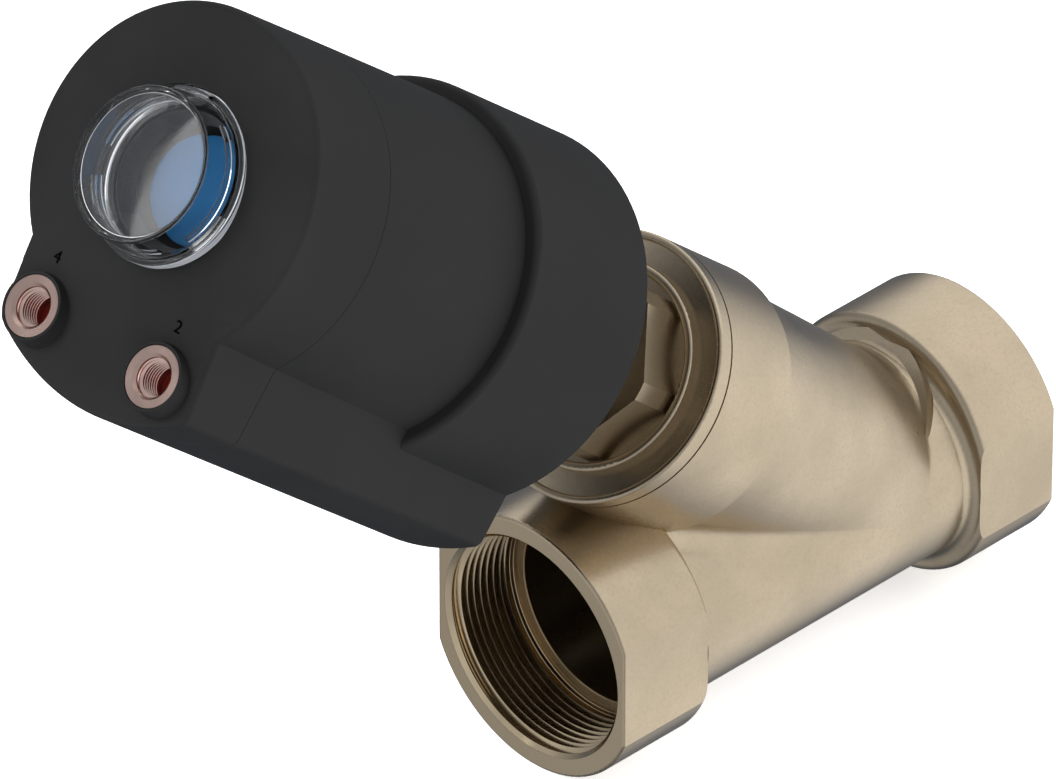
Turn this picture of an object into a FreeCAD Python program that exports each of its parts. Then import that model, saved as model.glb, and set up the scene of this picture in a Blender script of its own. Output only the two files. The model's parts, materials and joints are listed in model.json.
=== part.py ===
import FreeCAD, Part
import math
import os
import Sketcher

V = FreeCAD.Vector
doc = FreeCAD.newDocument("AngleSeatValve")
sheet = doc.addObject("Spreadsheet::Sheet", "Sizes")


class Size:
    """A length or angle that knows both its value and the formula that gives it."""

    def __init__(self, value, text):
        self.value, self.text = float(value), text

    def _join(self, other, sign, result, swap=False):
        texts = [self.text, other.text if isinstance(other, Size) else f"{other:.10g}"]
        if swap:
            texts.reverse()
        return Size(result, f"({texts[0]} {sign} {texts[1]})")

    def __add__(self, other):
        return self._join(other, "+", self.value + float(other))

    def __radd__(self, other):
        return self._join(other, "+", other + self.value, swap=True)

    def __sub__(self, other):
        return self._join(other, "-", self.value - float(other))

    def __rsub__(self, other):
        return self._join(other, "-", other - self.value, swap=True)

    def __mul__(self, other):
        return self._join(other, "*", self.value * float(other))

    __rmul__ = __mul__

    def __truediv__(self, other):
        return self._join(other, "/", self.value / float(other))

    def __neg__(self):
        return Size(-self.value, f"(0 - {self.text})")

    def __float__(self):
        return self.value


def cosine(angle):
    return Size(math.cos(math.radians(float(angle))), f"cos({angle.text})")


def sine(angle):
    return Size(math.sin(math.radians(float(angle))), f"sin({angle.text})")


def root_of_squares(long_side, other, sign):
    """The other leg (sign -1) or the long side (sign 1) of a right triangle."""
    value = math.sqrt(float(long_side) ** 2 + sign * float(other) ** 2)
    joint = "+" if sign > 0 else "-"
    return Size(value, f"sqrt({long_side.text} * {long_side.text} {joint} {other.text} * {other.text})")


def cell(name, value):
    """Writes one driving dimension in the sheet and returns it."""
    row = cell.row = getattr(cell, "row", 0) + 1
    sheet.set(f"A{row}", name.replace("_", " "))
    sheet.set(f"B{row}", str(value))
    sheet.setAlias(f"B{row}", name)
    return Size(value, f"Sizes.{name}")


# Pipe body: millimetres, x runs along the pipe from the inlet face
face_to_face = cell("face_to_face", 150)
collar_radius = cell("collar_radius", 35)
collar_flat = cell("collar_flat", 32.25)
inlet_collar = cell("inlet_collar", 28.6)
outlet_collar = cell("outlet_collar", 26.3)
run_radius = cell("run_radius", 29.4)
run_blend = cell("run_blend", 3)
shoulder_round = cell("shoulder_round", 2)
pipe_bore = cell("pipe_bore", 30)
pipe_depth = cell("pipe_depth", 23)
collar_edge = cell("collar_edge", 0.8)
flow_radius = cell("flow_radius", 25.5)
# Branch: stations run along its axis, from where it crosses the pipe's axis
branch_at = cell("branch_at", 107.4)
branch_angle = cell("branch_angle", 40.5)
branch_blend = cell("branch_blend", 5)
branch_foot_width = run_radius - cell("foot_side_inset", 0.2)
branch_foot_height = run_radius - cell("foot_top_inset", 0.8)
neck_radius = cell("neck_radius", 34.2)
branch_width = neck_radius - cell("neck_side_step", 0.2)
branch_height = neck_radius - cell("neck_top_step", 2.8)
neck_start = cell("neck_start", 78.2)
neck_end = cell("neck_end", 104.9)
neck_bore = neck_radius - cell("neck_wall", 5.2)
neck_thread = cell("neck_thread", 20)
chamber_radius = neck_bore - cell("gasket_ledge", 2)
web_station = cell("web_station", 8)
web_thickness = cell("web_thickness", 6)
web_grip = cell("web_grip", 1.6)
orifice_relief = cell("orifice_relief", 1)
orifice_radius = chamber_radius - cell("seat_margin", 5.5)
seat_width = cell("seat_width", 2.2)
seat_height = cell("seat_height", 1.5)
# Bonnet
fit_gap = cell("fit_gap", 0.1)
running_gap = cell("running_gap", 0.05)
rim_groove = cell("rim_groove", 0.6)
rim_height = cell("rim_height", 5.0)
rim_width = cell("rim_width", 2.0)
rim_edge = cell("rim_edge", 0.9)
rim_recess = cell("rim_recess", 1.3)
bead_radius = neck_radius - rim_width - cell("rim_trough", 5.6)
bead_width = cell("bead_width", 2.3)
bead_height = cell("bead_height", 6.5)
hex_base = cell("hex_base", 4.5)
hex_height = cell("hex_height", 14.5)
hex_land = bead_radius - bead_width - cell("land_gap", 0.6)
hex_flat = hex_land - cell("hex_corner", 2.1)
tube_radius = cell("tube_radius", 15)
spigot_radius = cell("spigot_radius", 11.5)
spigot_length = cell("spigot_length", 15)
bonnet_cup = neck_bore - cell("cup_wall", 9)
bonnet_cup_depth = cell("bonnet_cup_depth", 9)
gasket_thickness = cell("gasket_thickness", 1.5)
packing_radius = cell("packing_radius", 9.5)
packing_floor = cell("packing_floor", 16)
# Stem, plug and packing
stem_radius = cell("stem_radius", 6)
stroke = cell("stroke", 18)
washer_thickness = cell("washer_thickness", 2)
seal_gap = cell("seal_gap", 0.1)
plug_radius = chamber_radius - cell("plug_gap", 1.4)
seal_outer = plug_radius - cell("seal_lip", 1.2)
seal_inner = seal_outer - cell("seal_width", 6.9)
seal_step = seal_inner + cell("seal_hook", 2.1)
seal_thickness = cell("seal_thickness", 4)
plug_height = cell("plug_height", 10)
plug_rim = cell("plug_rim", 6)
plug_crown = plug_radius - cell("plug_bevel", 5.1)
plug_nut_height = cell("plug_nut_height", 5)
plug_nut_flat = cell("plug_nut_flat", 8)
stem_thread = cell("stem_thread", 4.5)
thread_end = cell("thread_end", 1)
ring_height = cell("ring_height", 3)
chevron_height = cell("chevron_height", 2.4)
chevron_count = cell("chevron_count", 5)
packing_wire = cell("packing_wire", 0.75)
packing_turns = cell("packing_turns", 7)
gland_length = cell("gland_length", 16)
# Actuator housing
base_station = cell("base_station", 163)
base_recess = cell("base_recess", 3)
base_rim = cell("base_rim", 5)
floor_thickness = cell("floor_thickness", 7)
drum_base = cell("drum_base", 46.8)
drum_top = drum_base - cell("drum_draft", 0.3)
step_station = cell("step_station", 210)
barrel_base = drum_base - cell("drum_step", 3.8)
barrel_parting = barrel_base - cell("barrel_draft", 0.7)
barrel_top = barrel_parting - cell("cover_draft", 0.5)
parting_station = cell("parting_station", 266.3)
face_station = cell("face_station", 294.5)
face_lean = cell("face_lean", 5.7)
crown_radius = cell("crown_radius", 600)
edge_round = cell("edge_round", 1.6)
cylinder_bore = barrel_parting - cell("barrel_wall", 2.8)
spine_half = cell("spine_half", 31.4)
spine_reach = drum_base + cell("spine_drop", 10.7)
spine_round = cell("spine_round", 3)
spine_core_half = cell("spine_core_half", 12)
cylinder_wall = cell("cylinder_wall", 4)
spine_wall = cell("spine_wall", 4.5)
parting_gap = cell("parting_gap", 0.15)
spigot_depth = cell("spigot_depth", 9)
cover_cavity = cylinder_bore - cell("skirt_wall", 3.2)
ceiling_station = cell("ceiling_station", 285)
hub_radius = cell("hub_radius", 18.4)
hub_depth = cell("hub_depth", 16)
well_radius = cell("well_radius", 14.4)
socket_radius = cell("socket_radius", 20.4)
socket_depth = cell("socket_depth", 8)
rebate_radius = cell("rebate_radius", 21.9)
rebate_depth = cell("rebate_depth", 1.6)
port_spread = cell("port_spread", 20.3)
port_drop = spine_reach - cell("port_inset", 15.45)
port_station = cell("port_station", 292.3)
port_boss = cell("port_boss", 8.3)
boss_depth = cell("boss_depth", 8)
port_taper = cell("port_taper", 8)
insert_radius = cell("insert_radius", 7.6)
insert_length = cell("insert_length", 11)
port_thread = cell("port_thread", 4.8)
port_step = cell("port_step", 2.6)
port_ledge = cell("port_ledge", 0.4)
channel_radius = cell("channel_radius", 2.2)
channel_floor = cell("channel_floor", 4)
passage_radius = cell("passage_radius", 1.7)
# Piston, springs and indicator
piston_station = cell("piston_station", 187)
piston_height = cell("piston_height", 15)
piston_gap = cell("piston_gap", 0.5)
piston_land = cell("piston_land", 2.2)
piston_wall = cell("piston_wall", 1.5)
piston_seal_width = cell("piston_seal_width", 3.6)
piston_seal_depth = cell("piston_seal_depth", 3.8)
guide_width = cell("guide_width", 4)
guide_depth = cell("guide_depth", 1.6)
piston_web = cell("piston_web", 7)
nut_height = cell("nut_height", 6)
nut_flat = cell("nut_flat", 9.5)
rod_radius = cell("rod_radius", 4)
outer_coil = cylinder_bore - cell("coil_margin", 9)
outer_wire = cell("outer_wire", 2.2)
outer_turns = cell("outer_turns", 6)
inner_coil = outer_coil - cell("coil_spacing", 7.7)
inner_wire = cell("inner_wire", 1.6)
inner_turns = cell("inner_turns", 7)
spring_play = cell("spring_play", 1.2)
guide_hub_wall = cell("guide_hub_wall", 2)
guide_hub_height = cell("guide_hub_height", 4)
indicator_radius = cell("indicator_radius", 13)
indicator_top = cell("indicator_top", 283)
indicator_height = cell("indicator_height", 9)
indicator_bevel = cell("indicator_bevel", 1)
dome_flange = cell("dome_flange", 21.5)
dome_base = cell("dome_base", 20.2)
dome_rim = cell("dome_rim", 18.8)
dome_clearance = cell("dome_clearance", 4.4)
dome_wall = cell("dome_wall", 1.6)
dome_edge = cell("dome_edge", 1.1)
dome_flange_height = cell("dome_flange_height", 1.5)
cord_wire = cell("cord_wire", 1)
cord_slack = cell("cord_slack", 0.4)
# A cut starts this far outside the piece
BEYOND = 1
# Straight lengths in one turn of a spring
COIL_SIDES = 12
doc.recompute()


# Places
def bind(thing, prop, size):
    thing.setExpression(prop, size.text)


def on_branch(thing):
    """Lays a piece modelled about z along the branch: its x then points to the branch's upper side."""
    tilt = FreeCAD.Rotation(V(0, -1, 0), 90 - float(branch_angle))
    thing.Placement = FreeCAD.Placement(V(float(branch_at), 0, 0), tilt)
    bind(thing, "Placement.Base.x", branch_at)
    bind(thing, "Placement.Rotation.Angle", 90 - branch_angle)


def plane_of(body, role):
    return next(item for item in body.Origin.OriginFeatures if item.Role == role)


def sketch_on(body, role, name, station=None):
    sketch = body.newObject("Sketcher::SketchObject", name)
    sketch.AttachmentSupport = [(plane_of(body, role), "")]
    sketch.MapMode = "FlatFace"
    if station is not None:
        sketch.AttachmentOffset = FreeCAD.Placement(V(0, 0, float(station)), FreeCAD.Rotation())
        bind(sketch, "AttachmentOffset.Base.z", station)
    return sketch


# Sketches
def as_size(value):
    return value if isinstance(value, Size) else Size(value, f"{value:.10g}")


def pin_point(sketch, geometry, vertex, point):
    """Holds a vertex at a place given by two formulas."""
    for direction, axis, size in (("DistanceX", -2, as_size(point[0])), ("DistanceY", -1, as_size(point[1]))):
        if size.value == 0 and size.text == "0":
            sketch.addConstraint(Sketcher.Constraint("PointOnObject", geometry, vertex, axis))
            continue
        index = sketch.addConstraint(Sketcher.Constraint(direction, -1, 1, geometry, vertex, size.value))
        bind(sketch, f"Constraints[{index}]", size)


def closed_outline(sketch, points, arcs=()):
    """Draws sides through the points and closes them.

    Sides are straight, or arcs where arcs names the side with its centre, radius and whether it is clockwise.
    """
    arcs = dict(arcs)
    spots = [V(float(x), float(y), 0) for x, y in points]
    first, count = sketch.GeometryCount, len(spots)
    starts = []
    for index, spot in enumerate(spots):
        ends, clockwise = [spot, spots[(index + 1) % count]], False
        side = Part.LineSegment(*ends)
        if index in arcs:
            (x, y), radius, clockwise = arcs[index]
            around = Part.Circle(V(float(x), float(y), 0), V(0, 0, 1), float(radius))
            if clockwise:
                ends.reverse()
            side = Part.ArcOfCircle(around, *(around.parameter(end) for end in ends))
        sketch.addGeometry(side, False)
        starts.append(2 if clockwise else 1)
    for index, start in enumerate(starts):
        following = (index + 1) % count
        sketch.addConstraint(Sketcher.Constraint(
            "Coincident", first + index, 3 - start, first + following, starts[following]))
    for index, point in enumerate(points):
        pin_point(sketch, first + index, starts[index], point)
    for index, (_, radius, _) in arcs.items():
        limit = sketch.addConstraint(Sketcher.Constraint("Radius", first + index, float(radius)))
        bind(sketch, f"Constraints[{limit}]", radius)


def circle(sketch, radius, centre=(0, 0)):
    spot = V(float(centre[0]), float(centre[1]), 0)
    index = sketch.addGeometry(Part.Circle(spot, V(0, 0, 1), float(radius)), False)
    pin_point(sketch, index, 3, centre)
    limit = sketch.addConstraint(Sketcher.Constraint("Radius", index, float(radius)))
    bind(sketch, f"Constraints[{limit}]", radius)


def segment(sketch, distance, radius):
    """The part of a disc about the origin that lies beyond a chord square to x."""
    half = math.acos(float(distance) / float(radius))
    spots = [V(float(distance), side * float(radius) * math.sin(half), 0) for side in (-1, 1)]
    sketch.addGeometry(Part.LineSegment(spots[1], spots[0]), False)
    disc = Part.Circle(V(0, 0, 0), V(0, 0, 1), float(radius))
    sketch.addGeometry(Part.ArcOfCircle(disc, -half, half), False)
    sketch.addConstraint(Sketcher.Constraint("Coincident", 0, 1, 1, 2))
    sketch.addConstraint(Sketcher.Constraint("Coincident", 0, 2, 1, 1))
    sketch.addConstraint(Sketcher.Constraint("Vertical", 0))
    pin_point(sketch, 1, 3, (0, 0))
    for kind, places, size in (("Radius", (1,), radius), ("DistanceX", (-1, 1, 0, 1), distance)):
        index = sketch.addConstraint(Sketcher.Constraint(kind, *places, float(size)))
        bind(sketch, f"Constraints[{index}]", size)


def hexagon(flat):
    """Corners of a hexagon with flats square to x."""
    corner = flat / math.cos(math.pi / 6)
    return [(corner * math.cos(math.radians(30 + 60 * turn)), corner * math.sin(math.radians(30 + 60 * turn)))
            for turn in range(6)]


# Features
def new_body(label):
    body = doc.addObject("PartDesign::Body", label)
    body.Label = label
    return body


def turn(body, name, points, kind="Revolution"):
    """Turns a half outline of (radius, station) about z, adding or cutting."""
    sketch = sketch_on(body, "XZ_Plane", name + "_outline")
    closed_outline(sketch, points)
    feature = body.newObject("PartDesign::" + kind, name)
    feature.Profile = sketch
    feature.ReferenceAxis = (sketch, ["V_Axis"])
    feature.Angle = 360
    doc.recompute()
    return feature


def extrude(body, name, sketch, length, kind="Pad", reverse=False):
    feature = body.newObject("PartDesign::" + kind, name)
    feature.Profile = sketch
    feature.Length = float(length)
    bind(feature, "Length", length)
    feature.Reversed = reverse
    doc.recompute()
    return feature


def drill(body, name, radius, centre, top, depth):
    """A round hole down from a station."""
    sketch = sketch_on(body, "XY_Plane", name + "_outline", top)
    circle(sketch, radius, centre)
    return extrude(body, name, sketch, depth, "Pocket")


def turned(label, points):
    body = new_body(label)
    turn(body, label + "_form", points)
    on_branch(body)
    return body


def ring(label, inner, outer, low, high):
    return turned(label, [(inner, low), (outer, low), (outer, high), (inner, high)])


def hex_nut(label, flat, bore, low, height):
    body = new_body(label)
    sketch = sketch_on(body, "XY_Plane", label + "_outline", low)
    closed_outline(sketch, hexagon(flat))
    circle(sketch, bore)
    extrude(body, label + "_form", sketch, height)
    on_branch(body)
    return body


def cord_ring(label, centre, wire, station):
    """A round-section ring about z."""
    body = new_body(label)
    sketch = sketch_on(body, "XZ_Plane", label + "_section")
    circle(sketch, wire, (centre, station))
    feature = body.newObject("PartDesign::Revolution", label + "_form")
    feature.Profile = sketch
    feature.ReferenceAxis = (sketch, ["V_Axis"])
    feature.Angle = 360
    on_branch(body)
    doc.recompute()
    return body


def coil(label, centre, wire, low, high, turns):
    """A spring between two stations, wound of short straight lengths that meet in mitres."""
    radius, bottom, rise = float(centre), float(low + wire), float(high - low - 2 * wire)
    steps = round(float(turns) * COIL_SIDES)
    points = []
    for step in range(steps + 1):
        angle = 2 * math.pi * step / COIL_SIDES
        points.append(V(radius * math.cos(angle), radius * math.sin(angle), bottom + rise * step / steps))
    sweep = Part.BRepOffsetAPI.MakePipeShell(Part.makePolygon(points))
    sweep.setTransitionMode(1)
    sweep.add(Part.Wire(Part.makeCircle(float(wire), points[0], points[1] - points[0])))
    sweep.build()
    sweep.makeSolid()
    spring = doc.addObject("Part::Feature", label)
    spring.Label = label
    spring.Shape = sweep.shape()
    on_branch(spring)
    return spring


def round_edges(body, name, radius, chosen):
    """Fillets the edges of the body's last feature that the test picks."""
    base = body.Tip
    names = [f"Edge{index + 1}" for index, edge in enumerate(base.Shape.Edges) if chosen(edge)]
    feature = body.newObject("PartDesign::Fillet", name)
    feature.Base = (base, names)
    feature.Radius = float(radius)
    bind(feature, "Radius", radius)
    doc.recompute()
    return feature


def is_circle(edge, radius, station, slack=0.02):
    curve = edge.Curve
    return (isinstance(curve, Part.Circle) and abs(curve.Radius - float(radius)) < slack
            and abs(curve.Center.z - float(station)) < slack)


# Valve body
def branch_sketch(body, name, station):
    """A sketch square to the branch axis; its x points to the branch's upper side."""
    sketch = body.newObject("Sketcher::SketchObject", name)
    sketch.AttachmentSupport = [(plane_of(body, "XY_Plane"), "")]
    sketch.MapMode = "FlatFace"
    across, along = cosine(branch_angle), sine(branch_angle)
    sketch.AttachmentOffset = FreeCAD.Placement(
        V(float(branch_at - station * across), 0, float(station * along)),
        FreeCAD.Rotation(V(0, -1, 0), 90 - float(branch_angle)))
    bind(sketch, "AttachmentOffset.Base.x", branch_at - station * across)
    bind(sketch, "AttachmentOffset.Base.z", station * along)
    bind(sketch, "AttachmentOffset.Rotation.Angle", 90 - branch_angle)
    return sketch


def ellipse(sketch, half_x, half_y):
    """An ellipse about the sketch's origin with its half axes along x and y."""
    tips = [(half_x, (1, 0)), (half_y, (0, 1))]
    tips.sort(key=lambda tip: -float(tip[0]))
    (long_half, long_way), (short_half, short_way) = tips
    far, near = [V(float(half) * way[0], float(half) * way[1], 0) for half, way in tips]
    index = sketch.addGeometry(Part.Ellipse(far, near, V(0, 0, 0)), False)
    sketch.exposeInternalGeometry(index)
    pin_point(sketch, index, 3, (0, 0))
    for line, half, way in ((index + 1, long_half, long_way), (index + 2, short_half, short_way)):
        ends = (sketch.getPoint(line, 1), sketch.getPoint(line, 2))
        vertex = 1 if ends[0].x + ends[0].y > 0 else 2
        if line == index + 1:
            sketch.addConstraint(Sketcher.Constraint("PointOnObject", line, vertex, -1 if way[0] else -2))
        reach = sketch.addConstraint(Sketcher.Constraint("Distance", index, 3, line, vertex, float(half)))
        bind(sketch, f"Constraints[{reach}]", half)


def cut_square_to_branch(body, name, radius, top, depth):
    sketch = branch_sketch(body, name + "_outline", top)
    circle(sketch, radius)
    return extrude(body, name, sketch, depth, "Pocket")


def valve_body():
    body = new_body("valve_body")
    outlet_start = face_to_face - outlet_collar
    turn_about_pipe(body, "run", [(0, 0), (0, run_radius), (face_to_face, run_radius), (face_to_face, 0)])

    foot = branch_sketch(body, "branch_foot", as_size(0))
    ellipse(foot, branch_foot_height, branch_foot_width)
    head = branch_sketch(body, "branch_head", neck_start)
    ellipse(head, branch_height, branch_width)
    loft = body.newObject("PartDesign::AdditiveLoft", "branch")
    loft.Profile = foot
    loft.Sections = [head]
    loft.Ruled = True
    doc.recompute()
    round_edges(body, "branch_blends", branch_blend, branch_seam)
    neck = branch_sketch(body, "neck_outline", neck_start)
    circle(neck, neck_radius)
    extrude(body, "neck", neck, neck_end - neck_start)

    collar(body, "inlet_collar", as_size(0), inlet_collar, 1)
    collar(body, "outlet_collar", face_to_face, outlet_start, -1)
    for name, start, length in (("inlet", as_size(0), inlet_collar), ("outlet", outlet_start, outlet_collar)):
        flats = sketch_on(body, "YZ_Plane", name + "_flats", start)
        beyond = collar_radius + BEYOND
        for side in (1, -1):
            closed_outline(flats, [(side * collar_flat, -beyond), (side * beyond, -beyond),
                                   (side * beyond, beyond), (side * collar_flat, beyond)])
        extrude(body, name + "_wrench_flats", flats, length, "Pocket", reverse=True)
    round_edges(body, "collar_edges", collar_edge, end_edge)

    bore = sketch_on(body, "YZ_Plane", "flow_outline")
    circle(bore, flow_radius)
    extrude(body, "flow_bore", bore, face_to_face, "Pocket", reverse=True)
    web = branch_sketch(body, "web_outline", web_station)
    reach = flow_radius + web_grip
    ellipse(web, reach / cosine(branch_angle), reach)
    extrude(body, "seat_web", web, web_thickness, reverse=True)
    cut_square_to_branch(body, "chamber", chamber_radius, neck_end, neck_end - web_station)
    cut_square_to_branch(body, "neck_bore", neck_bore, neck_end, neck_thread)
    bead = branch_sketch(body, "seat_outline", web_station)
    circle(bead, orifice_radius + seat_width)
    extrude(body, "seat_bead", bead, seat_height)
    through = web_thickness + seat_height + orifice_relief
    cut_square_to_branch(body, "orifice", orifice_radius, web_station + seat_height, through)

    turn_about_pipe(body, "inlet_bore", pipe_mouth(as_size(0), 1), "Groove")
    turn_about_pipe(body, "outlet_bore", pipe_mouth(face_to_face, -1), "Groove")
    return body


def branch_seam(edge):
    """The seam where the branch grows out of the run."""
    middle = edge.valueAt((edge.FirstParameter + edge.LastParameter) / 2)
    across = math.hypot(middle.y, middle.z)
    return isinstance(edge.Curve, Part.BSplineCurve) and abs(across - float(run_radius)) < BEYOND / 10


def collar(body, name, face, step, inward):
    """A pipe end's collar, with a rounded shoulder and a hollow blend down to the run."""
    sketch = sketch_on(body, "XZ_Plane", name + "_outline")
    sunk, toe = run_radius - BEYOND, step + inward * run_blend
    round_start = step - inward * shoulder_round
    shoulder, hollow = collar_radius - shoulder_round, run_radius + run_blend
    closed_outline(sketch, [
        (face, sunk), (face, collar_radius), (round_start, collar_radius), (step, shoulder), (step, hollow),
        (toe, run_radius), (toe, sunk)],
        {2: ((round_start, shoulder), shoulder_round, inward > 0), 4: ((toe, hollow), run_blend, inward < 0)})
    feature = body.newObject("PartDesign::Revolution", name)
    feature.Profile = sketch
    feature.ReferenceAxis = (sketch, ["H_Axis"])
    feature.Angle = 360
    doc.recompute()


def end_edge(edge, slack=0.01):
    """An edge in the plane of one of the pipe's end faces."""
    faces = (0, float(face_to_face))
    return any(all(abs(vertex.X - face) < slack for vertex in edge.Vertexes) for face in faces)


def pipe_mouth(face, inward):
    """Half outline of a pipe end's bore."""
    outside, floor = face - inward * BEYOND, face + inward * pipe_depth
    return [(outside, 0), (outside, pipe_bore), (floor, pipe_bore), (floor, 0)]


def turn_about_pipe(body, name, points, kind="Revolution"):
    sketch = sketch_on(body, "XZ_Plane", name + "_outline")
    closed_outline(sketch, points)
    feature = body.newObject("PartDesign::" + kind, name)
    feature.Profile = sketch
    feature.ReferenceAxis = (sketch, ["H_Axis"])
    feature.Angle = 360
    doc.recompute()
    return feature


# Bonnet, stem and plug
bonnet_foot = neck_end - neck_thread
seat_face = web_station + seat_height
seal_low = seat_face + seal_gap
plug_low = seal_low + seal_thickness / 2
washer_low = plug_low - washer_thickness
seal_top = seal_low + seal_thickness
plug_top = plug_low + plug_height
hex_top = neck_end + hex_base + hex_height
packing_low = bonnet_foot + packing_floor
spigot_start = base_station + base_recess
spigot_end = spigot_start + spigot_length
chevron_low = packing_low + ring_height
chevron_end = chevron_low + chevron_count * chevron_height
follower_end = chevron_end + ring_height
gland_end = spigot_end - ring_height
gland_low = gland_end - gland_length


def bonnet():
    """Screwed bonnet: collar flush with the neck, hexagon, and the tube that carries the actuator."""
    body = new_body("bonnet")
    rim_top = neck_end + rim_height
    rim_inner = neck_radius - rim_width
    recess = rim_top - rim_recess
    bead_top = neck_end + bead_height
    bead_inner = bead_radius - bead_width
    ledge = neck_end + hex_base
    stem_hole = stem_radius + running_gap
    turn(body, "bonnet_form", [
        (bonnet_cup, bonnet_foot + gasket_thickness), (neck_bore - fit_gap, bonnet_foot + gasket_thickness),
        (neck_bore - fit_gap, neck_end), (neck_radius - rim_groove, neck_end),
        (neck_radius - rim_groove, neck_end + rim_groove), (neck_radius, neck_end + rim_groove),
        (neck_radius, rim_top), (rim_inner, rim_top), (rim_inner, recess), (bead_radius, recess),
        (bead_radius, bead_top), (bead_inner, bead_top), (bead_inner, ledge),
        (hex_land, ledge), (hex_land, hex_top), (tube_radius, hex_top),
        (tube_radius, spigot_start), (spigot_radius, spigot_start), (spigot_radius, spigot_end),
        (packing_radius, spigot_end), (packing_radius, packing_low), (stem_hole, packing_low),
        (stem_hole, bonnet_foot + bonnet_cup_depth), (bonnet_cup, bonnet_foot + bonnet_cup_depth)])
    round_edges(body, "rim_round", rim_edge, lambda edge: any(
        is_circle(edge, radius, station) for radius, station in
        ((neck_radius, rim_top), (rim_inner, rim_top), (bead_radius, bead_top), (bead_inner, bead_top))))
    chord = sketch_on(body, "XY_Plane", "wrench_flat_outline", hex_top)
    segment(chord, hex_flat, (hex_land + bead_inner) / 2)
    flat = extrude(body, "wrench_flat", chord, hex_top - ledge, "Pocket")
    pattern = body.newObject("PartDesign::PolarPattern", "hexagon")
    pattern.Originals = [flat]
    pattern.Axis = (chord, ["N_Axis"])
    pattern.Angle = 360
    pattern.Occurrences = 6
    body.Tip = pattern
    doc.recompute()
    on_branch(body)


def stem():
    thread_top = piston_station + piston_web + nut_height + thread_end
    rod_end = indicator_top - indicator_height / 2
    low = washer_low - plug_nut_height
    turned("stem", [
        (0, low), (stem_thread, low), (stem_thread, plug_top), (stem_radius, plug_top),
        (stem_radius, piston_station), (stem_thread, piston_station), (stem_thread, thread_top),
        (rod_radius, thread_top), (rod_radius, rod_end), (0, rod_end)])


def plug():
    """Plug disc with the seal's seat, its retaining washer and nut."""
    hole = stem_thread
    turned("plug_disc", [
        (hole, plug_low), (seal_inner, plug_low), (seal_inner, seal_top), (seal_outer, seal_top),
        (seal_outer, plug_low), (plug_radius, plug_low), (plug_radius, plug_low + plug_rim),
        (plug_crown, plug_top), (hole, plug_top)])
    turned("plug_seal", [
        (seal_inner, plug_low), (seal_step, plug_low), (seal_step, seal_low), (seal_outer, seal_low),
        (seal_outer, seal_top), (seal_inner, seal_top)])
    ring("seal_washer", hole, seal_step, washer_low, plug_low)
    hex_nut("plug_nut", plug_nut_flat, hole, washer_low - plug_nut_height, plug_nut_height)


def packing():
    """Gasket, chevron packing, its spring and the guide bush, stacked in the bonnet."""
    rod = stem_radius + running_gap
    ring("bonnet_gasket", chamber_radius, neck_bore - fit_gap, bonnet_foot, bonnet_foot + gasket_thickness)
    wall = packing_radius
    ring("packing_base_ring", rod, wall, packing_low, chevron_low)
    rise = chevron_height / 2
    body = new_body("chevron_packing")
    middle = (rod + wall) / 2
    for turn_number in range(int(float(chevron_count))):
        low = chevron_low + turn_number * chevron_height
        side, peak = low + rise - fit_gap, low + chevron_height - fit_gap
        turn(body, f"chevron_{turn_number}", [(rod, low), (middle, low + rise), (wall, low), (wall, side),
                                              (middle, peak), (rod, side)])
    on_branch(body)
    ring("packing_follower", rod, wall, chevron_end, follower_end)
    centre = (stem_radius + wall + packing_wire) / 2
    coil("packing_spring", centre, packing_wire, follower_end, gland_low, packing_turns)
    ring("gland_bush", rod, wall, gland_low, gland_end)
    ring("stem_wiper", rod, wall, gland_end, spigot_end)


# Actuator housing
skirt_low = parting_station - spigot_depth
skirt_outer = cylinder_bore - fit_gap
seal_station = skirt_low + spigot_depth / 2
hub_low = ceiling_station - hub_depth
floor_top = spigot_start + floor_thickness
socket_low = face_station - socket_depth
rebate_low = face_station - rebate_depth


def spine_block(body, name, low, length):
    """The flat-sided spine that runs along the underside of the housing."""
    sketch = sketch_on(body, "XY_Plane", name + "_outline", low)
    inner = -(barrel_top / 2)
    corner = root_of_squares(spine_reach, spine_half, -1)
    reach = float(spine_reach)
    angle = math.asin(float(spine_half) / reach)
    points = [(inner, spine_half), (-corner, spine_half), (-corner, -spine_half), (inner, -spine_half)]
    spots = [V(float(x), float(y), 0) for x, y in points]
    for first, last in ((3, 0), (0, 1), (2, 3)):
        sketch.addGeometry(Part.LineSegment(spots[first], spots[last]), False)
    arc = Part.ArcOfCircle(Part.Circle(V(0, 0, 0), V(0, 0, 1), reach), math.pi - angle, math.pi + angle)
    sketch.addGeometry(arc, False)
    for one, end, other, start in ((0, 2, 1, 1), (1, 2, 3, 1), (3, 2, 2, 1), (2, 2, 0, 1)):
        sketch.addConstraint(Sketcher.Constraint("Coincident", one, end, other, start))
    pin_point(sketch, 3, 3, (0, 0))
    radius = sketch.addConstraint(Sketcher.Constraint("Radius", 3, reach))
    bind(sketch, f"Constraints[{radius}]", spine_reach)
    for line in (1, 2):
        sketch.addConstraint(Sketcher.Constraint("Horizontal", line))
    pin_point(sketch, 1, 1, points[0])
    pin_point(sketch, 2, 2, points[3])
    return extrude(body, name, sketch, length)


def long_edge(edge, across, slack=0.05):
    """An edge along z at the spine's outer corners."""
    ends = edge.Vertexes
    outside = all(abs(abs(end.Y) - float(across)) < slack and end.X < -float(cylinder_bore) for end in ends)
    return len(ends) == 2 and outside and abs(ends[0].Z - ends[1].Z) > float(spigot_depth) / 2


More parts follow.
